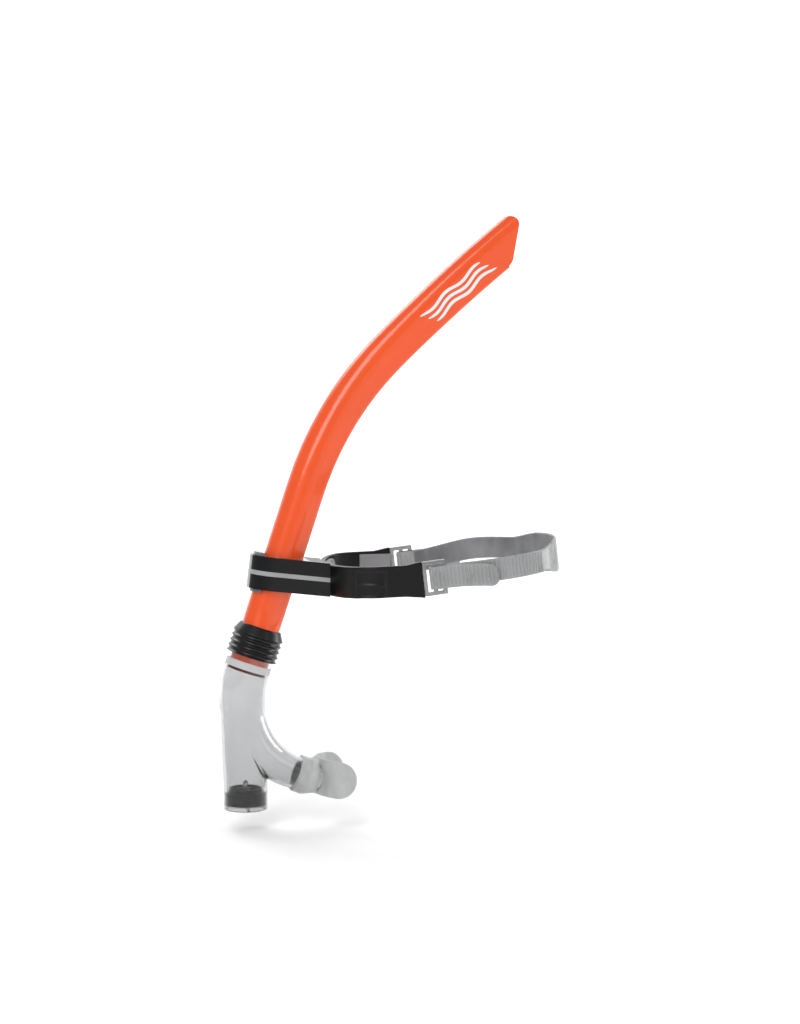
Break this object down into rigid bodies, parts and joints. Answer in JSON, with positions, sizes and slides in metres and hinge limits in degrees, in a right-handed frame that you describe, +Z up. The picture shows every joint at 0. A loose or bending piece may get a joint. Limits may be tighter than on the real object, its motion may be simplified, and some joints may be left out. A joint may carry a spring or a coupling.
{
  "type": "centre-mount swimming snorkel",
  "caption": "Front-mounted training snorkel: curved blade tube on a forehead bracket and strap, swivelling clear mouth chamber with purge valve and bite mouthpiece.",
  "frame": {"origin": "middle of the forehead pad's contact face, which rests on the wearer's forehead", "axes": "+Z up the wearer's head, +X from the face to the back of the head, +Y to the wearer's right"},
  "size_m": [0.2543, 0.1182, 0.4309],
  "materials": {
    "tube_orange": "glossy moulded plastic",
    "collar_black": "satin moulded rubber",
    "seal_red": "smooth rubber",
    "clear_chamber": "clear moulded plastic",
    "seat_black": "satin moulded plastic",
    "clear_silicone": "clear silicone",
    "clear_guard": "clear moulded plastic",
    "frosted_silicone": "frosted translucent silicone",
    "band_black": "glossy moulded plastic",
    "stripe_grey": "satin grey plastic",
    "clip_grey": "smoky translucent plastic",
    "core_black": "matte moulded plastic",
    "frame_black": "matte soft-touch plastic",
    "pad_grey": "soft silicone",
    "liner_grey": "soft silicone",
    "clear_buckle": "clear moulded plastic",
    "strap_silicone": "ribbed translucent silicone"
  },
  "bodies": {
    "head_bracket": {"bracket_band": "band_black", "stripe_inlay": "stripe_grey", "clip_sleeve": "clip_grey", "bracket_core": "core_black", "head_frame": "frame_black", "forehead_pad": "pad_grey", "left_arm_liner": "liner_grey", "right_arm_liner": "liner_grey", "left_buckle": "clear_buckle", "right_buckle": "clear_buckle", "left_strap_tail": "strap_silicone", "right_strap_tail": "strap_silicone", "left_strap_side": "strap_silicone", "right_strap_side": "strap_silicone"},
    "tube": {"main_tube": "tube_orange", "coupling_collar": "collar_black", "tube_seal_ring": "seal_red"},
    "chamber": {"mouth_chamber": "clear_chamber", "valve_seat": "seat_black", "purge_guard": "clear_guard", "bite_mouthpiece": "frosted_silicone"},
    "purge_flap": {"valve_diaphragm": "clear_silicone"},
    "strap_panel": {"strap_back": "strap_silicone"}
  },
  "joints": [
    {"name": "tube_height", "type": "slide", "parent": "head_bracket", "child": "tube", "axis": [0.3173, 0, 0.9483], "range_m": [-0.018, 0.015]},
    {"name": "chamber_swivel", "type": "hinge", "parent": "tube", "child": "chamber", "pos_m": [-0.06105, 0, -0.05631], "axis": [0.3173, 0, 0.9483], "range_deg": [-25, 25]},
    {"name": "purge_lift", "type": "slide", "parent": "chamber", "child": "purge_flap", "axis": [0, 0, -1], "range_m": [0, 0.0016], "stiffness_N_per_m": 20, "springref_m": -0.0008},
    {"name": "strap_stretch", "type": "slide", "parent": "head_bracket", "child": "strap_panel", "axis": [0.9936, 0, 0.1132], "range_m": [0, 0.045], "stiffness_N_per_m": 150, "deforming": ["left_strap_side", "right_strap_side"]}
  ]
}
